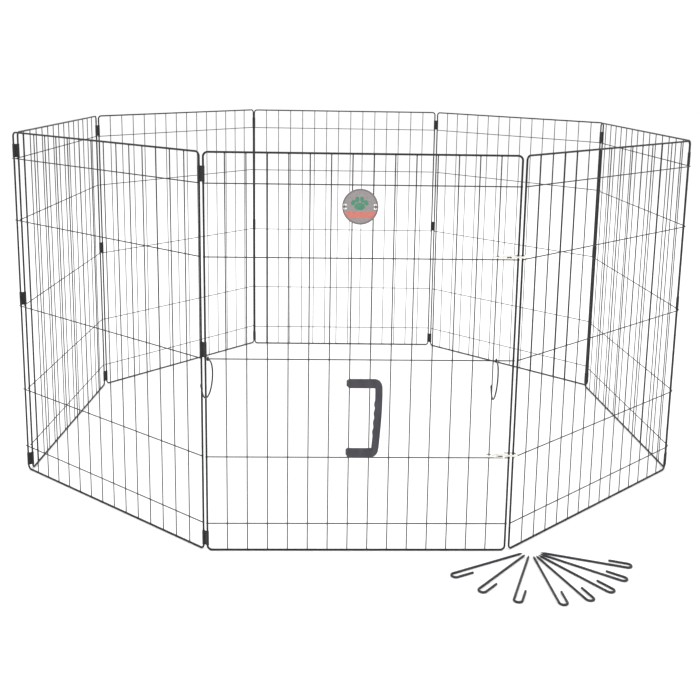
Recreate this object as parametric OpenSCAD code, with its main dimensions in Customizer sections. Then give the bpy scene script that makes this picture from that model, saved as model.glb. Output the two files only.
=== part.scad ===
// Folding wire playpen for pets: eight welded grid panels hinged corner to corner by sheet
// sleeves, closed at the last corner by two bolt snaps, with a carry handle, two stack rings,
// a round badge and eight ground stakes. Millimetres, +Z up, +Y from the front panel to the back.

/* [Panels] */
// Outside width of one panel
panel_w = 600; // [500:10:760]
// Outside height of one panel
panel_h = 800; // [640:10:1200]
// Number of uprights inside each frame
upright_count = 14; // [12:1:18]
// Height of the end rails above the bottom, and below the top
end_rail_z = 60; // [50:1:90]
// Height of the next rails in, from the same ends
inner_rail_z = 200; // [160:5:260]

/* [Wires] */
// Diameter of the frame wire
frame_d = 4; // [3.4:0.1:5]
// Diameter of the uprights
upright_d = 2.2; // [1.8:0.1:2.8]
// Diameter of the rails
rail_d = 2.3; // [1.8:0.1:2.8]
// Bend radius at a frame's corners, to the middle of the wire
corner_r = 9; // [7:0.5:16]
// Depth that a weld sinks one wire into the other
weld = 0.25; // [0.15:0.05:0.35]

/* [Stance] */
// Turn at the closing corner, front right
front_turn = 40.5; // [36:0.5:48]
// Turn at the right side corner behind it
side_turn = 53; // [44:0.5:56]
// Turn at the front left corner
left_front_turn = 39.5; // [36:0.5:48]
// Turn at the left side corner behind it
left_side_turn = 54; // [44:0.5:56]
// Turn of the back panel out of line with the front one
back_lean = 0.5; // [-2:0.5:2]

/* [Hinge sleeves] */
// Distance between the side wires of two neighbouring panels
hinge_pitch = 9.6; // [9.4:0.1:14]
// Lean of the link at an inward corner, from the panel whose side wire wears the sleeve
sleeve_in = 30; // [28:1:45]
// The same at an outward corner
sleeve_out = 62; // [61:1:80]
// Height of a sleeve
sleeve_h = 30; // [18:1:40]
// Thickness of the sleeve's sheet
sleeve_sheet = 0.8; // [0.6:0.1:1.2]
// Gap all round between a side wire and its sleeve
sleeve_play = 0.06; // [0.03:0.01:0.1]

/* [Snaps] */
// Diameter of a snap's barrel
barrel_d = 9; // [8:0.5:11]
// Diameter of the sliding bolt
bolt_d = 3.8; // [3.4:0.1:4.4]
// Diameter of the hook's arm
hook_d = 4.2; // [3.6:0.1:5]
// Inside radius of the eye that holds the last upright
eye_r = 4.5; // [4:0.1:6]
// Diameter of the eye's wire
eye_d = 3; // [2.5:0.1:3.5]
// Gap all round between the bolt and its bore
bolt_play = 0.08; // [0.03:0.01:0.1]

/* [Stack rings] */
// Outside diameter of a ring
ring_od = 75; // [60:1:90]
// Diameter of the ring's wire
ring_d = 3; // [2.5:0.1:3.5]
// Length of the doubled tip
ring_tip = 19; // [14:1:24]

/* [Handle] */
// Height of the handle
handle_h = 159.5; // [130:0.5:190]
// Reach of the handle from the upright that it turns on
handle_reach = 64; // [56:1:90]
// Height of one leg
handle_leg = 18; // [14:0.5:24]
// Width of the grip
handle_grip = 15; // [12:0.5:20]
// Thickness of the handle from front to back
handle_t = 11; // [9:0.5:14]
// Gap all round between the upright and the handle's sockets
handle_play = 0.08; // [0.03:0.01:0.1]

/* [Badge] */
// Diameter of the badge
badge_d = 68; // [50:1:76]
// Drop of its middle below the top rail
badge_drop = 41; // [38:1:80]
// Diameter of the wire that ties it on
tie_d = 1.2; // [0.8:0.1:1.6]

/* [Stakes] */
// Number of ground stakes
stake_count = 8; // [4:1:8]
// Overall length of a stake
stake_l = 178; // [150:1:230]
// Diameter of the stake's wire
stake_d = 4.5; // [3:0.1:5]
// Overall width of its hook
stake_hook_w = 20; // [16:0.5:30]
// Length of the hook's short leg
stake_leg = 47; // [30:1:60]

/* [Hidden] */
PANELS = ["front", "right_front", "right_back", "back_right",
          "back", "back_left", "left_back", "left_front"];
CORNERS = ["right", "right_rear", "rear_right", "rear_left", "left_rear", "left", "front_left"];
SNAPS = ["upper", "lower"];
RINGS = ["left", "right"];
LAST = len(PANELS) - 1;

$fn = 48;
bead_extra = 0.2;
coat = "#232428";
bare_zinc = "#b9bcc0";

// Panel grid, in a panel's own axes: x runs from its first side wire to its second,
// z is up, and -y is its outer side, where the rails lie
run = panel_w - frame_d;
frame_lo = frame_d / 2;
frame_hi = panel_h - frame_d / 2;
cell = run / (upright_count + 1);
upright_y = -(frame_d - upright_d) / 2;
upright_lo = frame_d - 2 * weld;
rail_y = -(frame_d / 2 + rail_d / 2 - weld);
rail_front = rail_y - rail_d / 2;
rail_heights = [end_rail_z, inner_rail_z, panel_h / 2,
                panel_h - inner_rail_z, panel_h - end_rail_z];

// Stance. Each sleeve is crimped on the side wire of one panel and leans to the inside of
// the next, so that the folded panels lie against each other. The headings of the two rear
// slanted panels follow from closing the ring: together they make up what is left over
h_side = front_turn + side_turn;
h_back = 180 - back_lean;
h_left = 360 - left_front_turn - left_side_turn;
LINKS = [front_turn / 2, h_side - sleeve_in, h_side - sleeve_out, h_back - sleeve_in,
         h_back - sleeve_out, h_left - sleeve_in, h_left - sleeve_out, -sleeve_in];
function along(angle) = [cos(angle), sin(angle)];
function total(list, n = 0) = n == len(list) ? [0, 0] : along(list[n]) + total(list, n + 1);
left_over = -total([0, front_turn, h_side, h_back, h_left, 360 - left_front_turn])
            - hinge_pitch / run * total(LINKS);
spread = acos(norm(left_over) / 2);
toward = (atan2(left_over[1], left_over[0]) + 360) % 360;
HEADINGS = [0, front_turn, h_side, toward - spread,
            h_back, toward + spread, h_left, 360 - left_front_turn];
function panel_start(i) = i == 0 ? [-run / 2, 0] :
    panel_end(i - 1) + hinge_pitch * along(LINKS[i - 1]);
function panel_end(i) = panel_start(i) + run * along(HEADINGS[i]);

// Hinge sleeves stand on the top rail, on the middle rail and on the bottom bend
sleeve_rest = 1;
bend_rest = 0.5;
sleeve_heights = [frame_lo + corner_r + bend_rest,
                  panel_h / 2 + rail_d / 2 + sleeve_rest,
                  panel_h - end_rail_z + rail_d / 2 + sleeve_rest];
sleeve_bore = frame_d / 2 + sleeve_play;

// Snap, in its own axes: origin in the middle of the eye, x along the bolt to the hook,
// y to the inside of the pen. It lies on a rail and holds the two loose side wires
snap_heights = [panel_h - inner_rail_z, inner_rail_z];
snap_lift = 0.1;
snap_z = rail_d / 2 + snap_lift + barrel_d / 2;
snap_tilt = -3;
snap_slack = [-1, -2.6];
snap_at = [run / 2 - cell, upright_y] + snap_slack;
hook_room = 0.5;
gate_wire = panel_start(1) - snap_at;
gate_wire_x = gate_wire[0] * cos(snap_tilt) + gate_wire[1] * sin(snap_tilt);
gate_wire_y = -gate_wire[0] * sin(snap_tilt) + gate_wire[1] * cos(snap_tilt);
hook_y = gate_wire_y + frame_d / 2 + hook_room + hook_d / 2;
hook_arc = hook_y / 2;
hook_x = gate_wire_x;
hook_tip = 5;
hook_elbow = 5;
barrel_x0 = eye_r + eye_d + 2.5;
barrel_x1 = cell - 8;
neck_d = 2.8;
neck_wall = 1.5;
button_d = 5;
button_t = 2.2;
button_gap = 0.25;
cavity_x0 = barrel_x0 + neck_wall;
cavity_x1 = cavity_x0 + button_t + 2 * button_gap;
bore_x0 = cavity_x1 + 0.8;
bolt_gap = 0.2;
bolt_x1 = hook_x - hook_tip - bolt_gap;
bolt_grip = 5.3;
spring_spare = 2;
bolt_travel = barrel_x1 - bore_x0 - bolt_grip - spring_spare;
bolt_x0 = barrel_x1 - bolt_grip;
knob_d = 5;
stem_d = 2.4;
slot_w = stem_d + 0.3;
knob_x = barrel_x1 - 3.4;
knob_y = -barrel_d / 2 - 2.2;
spring_d = 2.4;
spring_wire = 0.5;
spring_l = 13;
spring_turns = floor((spring_l - spring_wire) / (spring_wire * 0.9));
bolt_hollow_d = spring_d + 0.3;
bolt_hollow = bolt_travel + 2;

// Stack ring, in its own plane: origin on the rail, x to the back, y up
ring_r = (ring_od - ring_d) / 2;
ring_play = 0.3;
ring_eye_r = rail_d / 2 + ring_play + ring_d / 2;
ring_eye_sweep = 250;
ring_sweep = 234;
ring_hang = -8;
ring_tip_r = ring_d / 2 + 0.2;
ring_side_gap = 1.5;
ring_x = [-run / 2 + frame_d / 2 + ring_side_gap + ring_d / 2,
          run / 2 - cell + upright_d / 2 + 2 * ring_side_gap + ring_d / 2];
ring_yaw = [-10, -20];

// Handle, in the front panel's axes: it turns on the upright left of the middle
handle_x0 = -run / 2 + cell * floor(upright_count / 2);
handle_z0 = inner_rail_z + rail_d / 2 + 3;
handle_gap = 0.4;
handle_y = rail_front - handle_gap;
socket_r = 6;
socket_slit = 1.5;
handle_x1 = handle_x0 + handle_reach;
handle_inner_x = handle_x1 - handle_grip;
handle_corner = 11;
finger_waves = 4;
finger_r = 9;
finger_pitch = 19;
finger_out = 2.5;

// Badge and its ties
badge_t = 1.4;
badge_rim = 1.6;
badge_rim_t = 0.5;
badge_gap = 0.2;
badge_x = -5;
badge_z = panel_h - end_rail_z - badge_drop;
badge_back = -frame_d / 2 - badge_gap;
badge_front = badge_back - badge_t;
tie_hole_x = badge_d / 2 - 5;
tie_hole_z = 3.5;
tie_hole_d = tie_d + 0.8;
tie_upright_x = cell / 2;
tie_back_y = upright_y + upright_d / 2 + tie_d / 2 + 0.1;
tie_grip = 0.8;

// Stakes lie in two fans on the floor in front of the closing corner, tips together
fan_at = [run / 2 + 52, -5];
fan_r = 20;
fan_left_count = 3;
fan_first = -153;
fan_left_step = 21;
fan_last = -20;
fan_right_step = 16.5;
stake_point = 8;
stake_bend_r = (stake_hook_w - stake_d) / 2;
stake_bend_x = stake_l - stake_d / 2 - stake_bend_r;

// Straight round wire from one point to another
module wire(from, to, d) {
    v = to - from;
    translate(from)
        rotate([0, acos(v[2] / norm(v)), atan2(v[1], v[0])])
            cylinder(d = d, h = norm(v));
}

// Round wire bent in the XY plane about the origin, from one angle to another
module bend(r, d, from, sweep) {
    rotate([0, 0, from])
        rotate_extrude(angle = sweep)
            translate([r, 0])
                circle(d = d);
}

// Ball that joins two lengths of bent wire, a hair thicker than the wire, which passes
// through it in the XY plane at the given heading
module bead(at, d, heading) {
    translate(at)
        rotate([0, 90, heading])
            sphere(d = d + bead_extra);
}

module at_panel(i) {
    translate([panel_start(i)[0], panel_start(i)[1], 0])
        rotate([0, 0, HEADINGS[i]])
            children();
}

// Origin halfway between the side wires after panel i, x from one to the other
module at_corner(i) {
    middle = panel_end(i) + hinge_pitch / 2 * along(LINKS[i]);
    translate([middle[0], middle[1], 0])
        rotate([0, 0, LINKS[i]])
            children();
}

// Closed perimeter wire with four round bends
module panel_frame(i) {
    color(coat) at_panel(i) {
        for (x = [0, run])
            wire([x, 0, frame_lo + corner_r], [x, 0, frame_hi - corner_r], frame_d);
        for (z = [frame_lo, frame_hi])
            wire([corner_r, 0, z], [run - corner_r, 0, z], frame_d);
        for (right = [0, 1], top = [0, 1])
            translate([right ? run - corner_r : corner_r, 0,
                       top ? frame_hi - corner_r : frame_lo + corner_r])
                rotate([90, 0, 0])
                    bend(corner_r, frame_d, right ? (top ? 0 : -90) : (top ? 90 : 180), 90);
    }
}

// Uprights stand between the frame's top and bottom, flush with its outer side
module panel_uprights(i) {
    color(coat) at_panel(i)
        for (k = [1:upright_count])
            wire([k * cell, upright_y, upright_lo],
                 [k * cell, upright_y, panel_h - upright_lo], upright_d);
}

// Rails lie over the uprights and end flush with the side wires
module panel_rails(i) {
    color(coat) at_panel(i)
        for (z = rail_heights)
            wire([-frame_d / 2, rail_y, z], [run + frame_d / 2, rail_y, z], rail_d);
}

// A strip of sheet rolled into two barrels, pinched flat between them
module hinge_sleeve() {
    difference() {
        union() {
            for (side = [-1, 1])
                translate([side * hinge_pitch / 2, 0, 0])
                    cylinder(r = sleeve_bore + sleeve_sheet, h = sleeve_h);
            translate([-hinge_pitch / 2, -sleeve_sheet, 0])
                cube([hinge_pitch, 2 * sleeve_sheet, sleeve_h]);
        }
        for (side = [-1, 1])
            translate([side * hinge_pitch / 2, 0, -1])
                cylinder(r = sleeve_bore, h = sleeve_h + 2);
    }
}

module hinge_sleeves(i) {
    color(coat) at_corner(i)
        for (z = sleeve_heights)
            translate([0, 0, z])
                hinge_sleeve();
}

module at_snap(k) {
    translate([snap_at[0], snap_at[1], snap_heights[k] + snap_z])
        rotate([0, 0, snap_tilt])
            children();
}

// Cylinder along x
module bar(x0, x1, d) {
    translate([x0, 0, 0])
        rotate([0, 90, 0])
            cylinder(d = d, h = x1 - x0);
}

// Barrel with the hook's arm, bored for the eye's button and for the bolt
module snap_body(k) {
    shank_x = barrel_x1 - hook_d / 2 - 0.4;
    color(bare_zinc) at_snap(k) difference() {
        union() {
            bar(barrel_x0, barrel_x1, barrel_d);
            wire([shank_x, 0, 0], [shank_x, hook_y - hook_elbow, 0], hook_d);
            translate([shank_x + hook_elbow, hook_y - hook_elbow, 0])
                bend(hook_elbow, hook_d, 90, 90);
            wire([shank_x + hook_elbow, hook_y, 0], [hook_x, hook_y, 0], hook_d);
            translate([hook_x, hook_arc, 0])
                bend(hook_arc, hook_d, -90, 180);
            bar(hook_x - hook_tip, hook_x, hook_d);
            for (y = [0, hook_y])
                bead([hook_x, y, 0], hook_d, 0);
            bead([shank_x + hook_elbow, hook_y, 0], hook_d, 0);
            bead([shank_x, hook_y - hook_elbow, 0], hook_d, 90);
        }
        bar(barrel_x0 - 1, cavity_x0 + 1, neck_d + 0.3);
        bar(cavity_x0, cavity_x1, button_d + 0.4);
        bar(bore_x0, barrel_x1 + 1, bolt_d + 2 * bolt_play);
        translate([knob_x - bolt_travel - slot_w / 2, -barrel_d, -slot_w / 2])
            cube([bolt_travel + slot_w, barrel_d, slot_w]);
    }
}

// Eye with the post and button that let the barrel swivel
module snap_eye(k) {
    color(bare_zinc) at_snap(k) {
        bend(eye_r + eye_d / 2, eye_d, 0, 360);
        bar(eye_r + eye_d / 2, cavity_x0 + button_gap, neck_d);
        bar(cavity_x0 + button_gap, cavity_x0 + button_gap + button_t, button_d);
    }
}

// Sliding bolt, hollow behind for its spring, with a thumb knob on a stem
module snap_bolt(k) {
    color(bare_zinc) at_snap(k) difference() {
        union() {
            bar(bolt_x0, bolt_x1, bolt_d);
            wire([knob_x, -1, 0], [knob_x, knob_y, 0], stem_d);
            translate([knob_x, knob_y, 0])
                sphere(d = knob_d);
        }
        bar(bolt_x0 - 1, bolt_x0 + bolt_hollow, bolt_hollow_d);
    }
}

// Closely wound spring, as it is when the bolt is drawn right back
module snap_spring(k) {
    pitch = (spring_l - spring_wire) / spring_turns;
    color("#8d9094") at_snap(k)
        translate([bore_x0 + 0.1, 0, 0])
            rotate([0, 90, 0])
                rotate_extrude()
                    for (n = [0:spring_turns])
                        translate([(spring_d - spring_wire) / 2, spring_wire / 2 + n * pitch])
                            circle(d = spring_wire, $fn = 24);
}

// C ring of wire with a small eye round the middle rail and a doubled tip
module stack_ring(k) {
    end_angle = 90 - ring_sweep;
    color(coat)
        translate([ring_x[k], rail_y, panel_h / 2])
            rotate([0, 0, 90 + ring_yaw[k]]) rotate([90, 0, 0]) rotate([0, 0, ring_hang]) {
                bend(ring_eye_r, ring_d, -90 - ring_eye_sweep, ring_eye_sweep);
                bead([0, -ring_eye_r, 0], ring_d, 0);
                translate([0, -ring_eye_r - ring_r, 0]) {
                    bend(ring_r, ring_d, end_angle, ring_sweep);
                    rotate([0, 0, end_angle]) translate([ring_r, 0, 0])
                        ring_end();
                }
            }
}

// Doubled tip: the wire runs on, turns back on itself and stops short
module ring_end() {
    back_x = -2 * ring_tip_r;
    back_y = -0.4 * ring_tip;
    bead([0, 0, 0], ring_d, 90);
    wire([0, 0, 0], [0, -ring_tip, 0], ring_d);
    bead([0, -ring_tip, 0], ring_d, 90);
    translate([-ring_tip_r, -ring_tip, 0])
        bend(ring_tip_r, ring_d, 180, 180);
    bead([back_x, -ring_tip, 0], ring_d, 90);
    wire([back_x, -ring_tip, 0], [back_x, back_y, 0], ring_d);
    bead([back_x, back_y, 0], ring_d, 90);
}

// Outline of the handle seen from the front: a D with finger waves inside the grip
module handle_outline() {
    waves_z0 = handle_h / 2 - finger_pitch * (finger_waves - 1) / 2;
    difference() {
        union() {
            translate([handle_x0, 0])
                square([handle_reach - handle_corner, handle_h]);
            translate([handle_x1 - 2 * handle_corner, handle_corner])
                square([2 * handle_corner, handle_h - 2 * handle_corner]);
            for (z = [handle_corner, handle_h - handle_corner])
                translate([handle_x1 - handle_corner, z])
                    circle(r = handle_corner);
        }
        translate([handle_x0 - 1, handle_leg])
            square([handle_inner_x - handle_x0 + 1, handle_h - 2 * handle_leg]);
    }
    for (n = [0:finger_waves - 1])
        translate([handle_inner_x + finger_r - finger_out, waves_z0 + n * finger_pitch])
            circle(r = finger_r);
}

// Moulded handle with two split sockets that clip onto an upright
module carry_handle() {
    color("#4a4754") difference() {
        union() {
            translate([0, handle_y, handle_z0])
                rotate([90, 0, 0])
                    linear_extrude(height = handle_t)
                        handle_outline();
            for (z = [0, handle_h - handle_leg])
                translate([handle_x0, upright_y, handle_z0 + z])
                    cylinder(r = socket_r, h = handle_leg);
        }
        translate([handle_x0, upright_y, handle_z0 - 1])
            cylinder(d = upright_d + 2 * handle_play, h = handle_h + 2);
        translate([handle_x0 - socket_slit / 2, upright_y, handle_z0 - 1])
            cube([socket_slit, socket_r + 1, handle_h + 2]);
    }
}

// Disc along y, from its front face backwards
module disc(r, front, t) {
    translate([badge_x, front, badge_z])
        rotate([-90, 0, 0])
            cylinder(r = r, h = t);
}

module badge_disc() {
    color("#9c9494") difference() {
        union() {
            disc(badge_d / 2, badge_front, badge_t);
            difference() {
                disc(badge_d / 2, badge_front - badge_rim_t, badge_rim_t + badge_t / 2);
                disc(badge_d / 2 - badge_rim, badge_front - 1, badge_t + 2);
            }
        }
        for (x = [-tie_hole_x, tie_hole_x], z = [-tie_hole_z, tie_hole_z])
            translate([x, 0, z])
                disc(tie_hole_d / 2, badge_front - 1, badge_t + 2);
    }
}

// Two wire staples through the badge, hooked round the uprights behind it
module badge_ties() {
    front_y = badge_front - tie_d / 2 - 0.05;
    hook_y0 = badge_back + badge_gap + tie_d / 2;
    hook_x0 = tie_upright_x - upright_d / 2 - tie_grip - tie_d / 2;
    color("#2b2b2e") translate([0, 0, badge_z])
        for (side = [-1, 1]) {
            hole_x = badge_x + side * tie_hole_x;
            wire([hole_x, front_y, -tie_hole_z], [hole_x, front_y, tie_hole_z], tie_d);
            for (z = [-tie_hole_z, tie_hole_z]) {
                translate([hole_x, front_y, z])
                    sphere(d = tie_d);
                wire([hole_x, front_y, z], [hole_x, tie_back_y, z], tie_d);
                translate([hole_x, tie_back_y, z])
                    sphere(d = tie_d);
                wire([hole_x, tie_back_y, z], [side * hook_x0, tie_back_y, z], tie_d);
                translate([side * hook_x0, tie_back_y, z])
                    sphere(d = tie_d);
                wire([side * hook_x0, tie_back_y, z], [side * hook_x0, hook_y0, z], tie_d);
            }
        }
}

// J-shaped stake, lying with its tip at the fan's middle and its hook turned to the left
module stake(i) {
    angle = i <= fan_left_count ? fan_first + (i - 1) * fan_left_step
        : fan_last - (stake_count - i) * fan_right_step;
    color("#3a3840") translate([fan_at[0], fan_at[1], stake_d / 2])
        rotate([0, 0, angle]) translate([fan_r, 0, 0]) {
            rotate([0, 90, 0])
                cylinder(d1 = stake_d / 4, d2 = stake_d, h = stake_point);
            bar(stake_point, stake_bend_x, stake_d);
            translate([stake_bend_x, stake_bend_r, 0])
                bend(stake_bend_r, stake_d, -90, 180);
            translate([0, 2 * stake_bend_r, 0])
                bar(stake_l - stake_leg, stake_bend_x, stake_d);
        }
}

for (i = [0:LAST]) {
    panel_frame(i);
    panel_uprights(i);
    panel_rails(i);
}
for (i = [1:LAST])
    hinge_sleeves(i);
for (k = [0:len(SNAPS) - 1]) {
    snap_body(k);
    snap_eye(k);
    snap_bolt(k);
    snap_spring(k);
}
for (k = [0:len(RINGS) - 1])
    stack_ring(k);
carry_handle();
badge_disc();
badge_ties();
for (i = [1:stake_count])
    stake(i);
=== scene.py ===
"""Folding wire playpen for pets: the looks of its wire, sheet, zinc and moulded parts.

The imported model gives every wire, sleeve, snap and badge its place. This script dresses those
parts, and makes finer shapes for the pieces whose form is softer than the plain solids: the
rolled hinge sleeves, the weld nuggets, the stack rings, the carry handle and the stakes.
Lengths are in metres, +Z is up and +Y runs from the front panel to the back one.
"""
import logging
import math
from abc import ABC, abstractmethod
from dataclasses import dataclass, field
from enum import Enum
from typing import Any, Iterable, Sequence

import bpy
import numpy as np
from mathutils import Matrix, Vector


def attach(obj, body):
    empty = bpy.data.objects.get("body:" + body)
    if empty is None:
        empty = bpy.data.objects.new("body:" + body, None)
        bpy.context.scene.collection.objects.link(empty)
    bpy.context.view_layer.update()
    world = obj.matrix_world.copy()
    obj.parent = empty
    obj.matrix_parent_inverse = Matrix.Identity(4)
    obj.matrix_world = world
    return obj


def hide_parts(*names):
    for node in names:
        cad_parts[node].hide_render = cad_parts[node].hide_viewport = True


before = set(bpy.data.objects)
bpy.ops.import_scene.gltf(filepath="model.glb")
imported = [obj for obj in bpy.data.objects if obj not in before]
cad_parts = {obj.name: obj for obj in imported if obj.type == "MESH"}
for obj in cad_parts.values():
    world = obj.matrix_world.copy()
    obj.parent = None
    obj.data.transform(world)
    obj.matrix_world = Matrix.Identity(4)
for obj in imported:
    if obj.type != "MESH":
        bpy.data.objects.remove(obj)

LOG = logging.getLogger("playpen")
MM = 0.001


class Slot(Enum):
    """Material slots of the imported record."""

    WIRE = "coated_wire"
    SHEET = "coated_sheet"
    SPRING = "spring_steel"
    ZINC = "zinc"
    RING = "ring_wire"
    HANDLE = "handle_plastic"
    BADGE = "badge_sheet"
    TIE = "tie_wire"
    STAKE = "stake_wire"


# --------------------------------------------------------------------------- finishes


def linear(code: str) -> tuple[float, float, float, float]:
    """Turn an sRGB hex colour into linear values.

    Args:
        code: Six hex digits after a hash sign.

    Returns:
        Red, green, blue and an alpha of one.
    """
    parts = [int(code[i:i + 2], 16) / 255 for i in (1, 3, 5)]
    return (*(p / 12.92 if p <= 0.04045 else ((p + 0.055) / 1.055) ** 2.4 for p in parts), 1.0)


def add(tree: bpy.types.NodeTree, kind: str, values: dict[Any, Any] | None = None,
        links: dict[Any, bpy.types.NodeSocket] | None = None, **settings: Any) -> bpy.types.Node:
    """Add one node with its settings, its constants and its links.

    Args:
        tree: Node tree that takes the node.
        kind: Blender's name of the node type.
        values: Constants by the input's name or number.
        links: Output sockets of other nodes by the input's name or number.
        **settings: The node's own properties.

    Returns:
        The new node.
    """
    node = tree.nodes.new(kind)
    for key, value in settings.items():
        setattr(node, key, value)
    for key, value in (values or {}).items():
        node.inputs[key].default_value = value
    for key, socket in (links or {}).items():
        tree.links.new(socket, node.inputs[key])
    return node


def ramp(tree: bpy.types.NodeTree, source: bpy.types.NodeSocket,
         stops: Sequence[tuple[float, str]]) -> bpy.types.NodeSocket:
    """Colour a value by stops.

    Args:
        tree: Node tree that takes the ramp.
        source: Socket that gives the value.
        stops: Pairs of position and hex colour, from low to high.

    Returns:
        The colour socket.
    """
    node = add(tree, "ShaderNodeValToRGB", links={"Fac": source})
    elements = node.color_ramp.elements
    while len(elements) < len(stops):
        elements.new(0.5)
    for element, (at, code) in zip(elements, stops):
        element.position, element.color = at, linear(code)
    return node.outputs["Color"]


@dataclass(frozen=True)
class Finish(ABC):
    """A finish: what a surface is made of and how it was made."""

    name: str

    @abstractmethod
    def shade(self, tree: bpy.types.NodeTree, shader: bpy.types.Node,
              place: bpy.types.NodeSocket) -> None:
        """Set the shader and link its patterns.

        Args:
            tree: Node tree of the material.
            shader: Its Principled shader.
            place: Object coordinates, in metres.
        """

    def material(self) -> bpy.types.Material:
        """Make the finish's material, once.

        Returns:
            The material.
        """
        known = bpy.data.materials.get(self.name)
        if known:
            return known
        made = bpy.data.materials.new(self.name)
        made.use_nodes = True
        tree = made.node_tree
        shader = tree.nodes["Principled BSDF"]
        place = add(tree, "ShaderNodeTexCoord").outputs["Object"]
        self.shade(tree, shader, place)
        return made

    def grain(self, tree: bpy.types.NodeTree, place: bpy.types.NodeSocket, size: float,
              detail: float = 2.0, stretch: tuple[float, float, float] = (1, 1, 1),
              roughness: float = 0.5) -> bpy.types.NodeSocket:
        """Noise with grains of a real size.

        Args:
            tree: Node tree of the material.
            place: Coordinates, in metres.
            size: Width of one grain, in metres.
            detail: Octaves of finer noise on top.
            stretch: Factor on the coordinates before the noise.
            roughness: Strength of the finer octaves.

        Returns:
            A value socket round one half.
        """
        where = add(tree, "ShaderNodeMapping", {"Scale": stretch}, {"Vector": place})
        noise = add(tree, "ShaderNodeTexNoise",
                    {"Scale": 1 / size, "Detail": detail, "Roughness": roughness},
                    {"Vector": where.outputs["Vector"]})
        return noise.outputs["Fac"]

    def spread(self, tree: bpy.types.NodeTree, source: bpy.types.NodeSocket,
               low: float, high: float, start: float = 0.3,
               end: float = 0.7) -> bpy.types.NodeSocket:
        """Carry the middle of a noise to a range of values.

        Args:
            tree: Node tree of the material.
            source: Value socket.
            low: Result where the source is at start.
            high: Result where the source is at end.
            start: Low end of the source.
            end: High end of the source.

        Returns:
            The value socket.
        """
        node = add(tree, "ShaderNodeMapRange", {"From Min": start, "From Max": end,
                                                "To Min": low, "To Max": high},
                   {"Value": source})
        return node.outputs["Result"]

    def relief(self, tree: bpy.types.NodeTree, shader: bpy.types.Node,
               layers: Sequence[tuple[bpy.types.NodeSocket, float, float]]) -> None:
        """Lay bumps on each other and link them to the shader.

        Args:
            tree: Node tree of the material.
            shader: Principled shader.
            layers: Height socket, strength and depth in metres of each layer.
        """
        below: dict[Any, bpy.types.NodeSocket] = {}
        for height, strength, depth in layers:
            bump = add(tree, "ShaderNodeBump", {"Strength": strength, "Distance": depth},
                       {"Height": height, **below})
            below = {"Normal": bump.outputs["Normal"]}
        tree.links.new(below["Normal"], shader.inputs["Normal"])


@dataclass(frozen=True)
class DippedCoat(Finish):
    """Steel wire dipped and baked in black electro-coat.

    The bath leaves a thin semi-gloss skin: its sheen comes and goes along a wire where the
    coat pooled, and the light catches a fine orange peel.
    """

    dark: str
    light: str
    gloss: tuple[float, float] = (0.42, 0.58)
    pool: float = 24 * MM
    speck: float = 2.2 * MM
    peel: float = 0.9 * MM
    ior: float = 1.42

    def shade(self, tree: bpy.types.NodeTree, shader: bpy.types.Node,
              place: bpy.types.NodeSocket) -> None:
        """Pooled colour and sheen over an orange peel.

        Args:
            tree: Node tree of the material.
            shader: Its Principled shader.
            place: Object coordinates, in metres.
        """
        pools = self.grain(tree, place, self.pool, detail=3.0)
        specks = self.grain(tree, place, self.speck, detail=4.0, roughness=0.7)
        both = add(tree, "ShaderNodeMix", {"Factor": 0.35}, {"A": pools, "B": specks},
                   data_type="FLOAT")
        tree.links.new(ramp(tree, both.outputs["Result"],
                            [(0.36, self.dark), (0.64, self.light)]),
                       shader.inputs["Base Color"])
        tree.links.new(self.spread(tree, both.outputs["Result"], self.gloss[1], self.gloss[0]),
                       shader.inputs["Roughness"])
        # The real peel is about 0.3 mm wide: it is drawn three times as coarse to show
        peel = self.grain(tree, place, self.peel, detail=1.0)
        self.relief(tree, shader, [(pools, 0.25, 0.2 * MM), (peel, 0.35, 0.05 * MM)])
        shader.inputs["IOR"].default_value = self.ior


@dataclass(frozen=True)
class ZincPlate(Finish):
    """Zinc alloy, die cast, tumbled and bright zinc plated.

    Tumbling rounds off the casting and leaves it bright and slightly cloudy, with small dents
    and a duller skin in the hollows.
    """

    bright: str = "#f4f3ec"
    cloudy: str = "#cfcdc4"
    cloud: float = 5 * MM
    dent: float = 1.1 * MM

    def shade(self, tree: bpy.types.NodeTree, shader: bpy.types.Node,
              place: bpy.types.NodeSocket) -> None:
        """Clouds of plating over a tumbled casting.

        Args:
            tree: Node tree of the material.
            shader: Its Principled shader.
            place: Object coordinates, in metres.
        """
        clouds = self.grain(tree, place, self.cloud, detail=4.0, roughness=0.65)
        dents = self.grain(tree, place, self.dent)
        tree.links.new(ramp(tree, clouds, [(0.32, self.cloudy), (0.6, self.bright)]),
                       shader.inputs["Base Color"])
        tree.links.new(self.spread(tree, clouds, 0.42, 0.22), shader.inputs["Roughness"])
        self.relief(tree, shader, [(clouds, 0.2, 0.1 * MM), (dents, 0.3, 0.06 * MM)])
        shader.inputs["Metallic"].default_value = 1.0


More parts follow.
